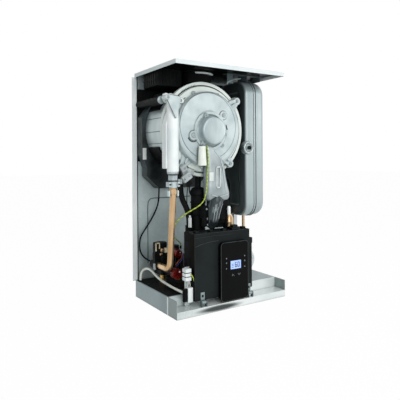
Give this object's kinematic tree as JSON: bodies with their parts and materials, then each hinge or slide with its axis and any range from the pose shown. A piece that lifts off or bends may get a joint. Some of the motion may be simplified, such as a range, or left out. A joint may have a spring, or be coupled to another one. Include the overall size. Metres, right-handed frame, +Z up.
{
  "type": "gas boiler",
  "caption": "Wall-hung condensing gas boiler with covers off: sheet case, heat exchanger drum with fan, expansion vessel, pump, copper pipes and a hinged control box.",
  "frame": {"origin": "under the middle of the case, at the bottom of its pan", "axes": "+Z up along the case's height, front towards -Y, wall side towards +Y"},
  "size_m": [0.41, 0.26, 0.7],
  "materials": {
    "galvanised": "bright spangle, satin",
    "white_paint": "semi-gloss",
    "stainless": "satin",
    "coil_metal": "satin",
    "casting": "matt cast",
    "black_plastic": "fine grain",
    "grey_plastic": "matt",
    "gloss_black": "gloss",
    "display": "lit screen",
    "white_plastic": "matt",
    "cream_plastic": "matt",
    "copper": "drawn, bright",
    "brass": "machined",
    "vessel_paint": "satin",
    "red_plastic": "semi-gloss",
    "motor_iron": "painted",
    "mineral_board": "fibrous",
    "circuit_board": "lacquered",
    "black_rubber": "matt",
    "white_sheath": "satin",
    "earth_sheath": "satin"
  },
  "bodies": {
    "frame": {"back_panel": "galvanised", "base_pan": "galvanised", "front_channel": "galvanised", "cross_brace": "galvanised", "hinge_brackets": "galvanised", "top_panel": "white_paint", "exchanger_drum": "stainless", "burner_tube": "stainless", "plate_exchanger": "stainless", "pipe_union": "stainless", "exchanger_coil": "coil_metal", "front_ring": "casting", "burner_door": "casting", "fan_housing": "casting", "gas_valve": "casting", "pump_motor": "casting", "mixing_duct": "casting", "motor_cap": "casting", "rear_collector": "black_plastic", "flue_outlet": "black_plastic", "air_silencer": "black_plastic", "support_tube": "black_plastic", "flow_block": "black_plastic", "gas_valve_coil": "black_plastic", "cable_glands": "black_plastic", "pump_body": "black_plastic", "condensate_trap": "black_plastic", "flow_sensor": "grey_plastic", "water_manifold": "white_plastic", "ignition_electrode": "white_plastic", "pipe_clips": "white_plastic", "terminal_block": "white_plastic", "diverter_actuator": "cream_plastic", "flow_pipe": "copper", "return_pipe": "copper", "gas_pipe": "copper", "vessel_pipe": "copper", "connection_tails": "brass", "safety_valve": "brass", "vessel_valve": "brass", "vessel_inner_shell": "vessel_paint", "vessel_outer_shell": "vessel_paint", "pressure_sensor": "red_plastic", "fan_motor": "motor_iron", "burner_insulation": "mineral_board", "vessel_diaphragm": "black_rubber", "condensate_hose": "black_rubber", "sensor_lead": "black_rubber", "mains_cable": "white_sheath", "earth_wire": "earth_sheath"},
    "control_box": {"control_box_rear": "black_plastic", "control_box_cover": "black_plastic", "control_board": "circuit_board", "display_panel": "gloss_black", "display_window": "display", "hinge_straps": "galvanised"},
    "fan_rotor": {"fan_impeller": "coil_metal"},
    "pump_rotor": {"pump_impeller": "black_plastic"},
    "diverter": {"diverter_stem": "stainless"},
    "valve_knob": {"safety_knob": "red_plastic"}
  },
  "joints": [
    {"name": "control_box_hinge", "type": "hinge", "parent": "frame", "child": "control_box", "pos_m": [0, -0.1235, 0.0315], "axis": [1, 0, 0], "range_deg": [0, 85]},
    {"name": "fan_spin", "type": "hinge", "parent": "frame", "child": "fan_rotor", "pos_m": [-0.043, -0.06, 0.514], "axis": [0, 1, 0], "continuous": true},
    {"name": "pump_spin", "type": "hinge", "parent": "frame", "child": "pump_rotor", "pos_m": [0.117, 0.02, 0.106], "axis": [0, 1, 0], "continuous": true},
    {"name": "diverter_slide", "type": "slide", "parent": "frame", "child": "diverter", "axis": [0, 0, 1], "range_m": [0, 0.006]},
    {"name": "knob_turn", "type": "hinge", "parent": "frame", "child": "valve_knob", "pos_m": [-0.145, -0.04, 0.1], "axis": [0, 1, 0], "range_deg": [0, 90]}
  ]
}
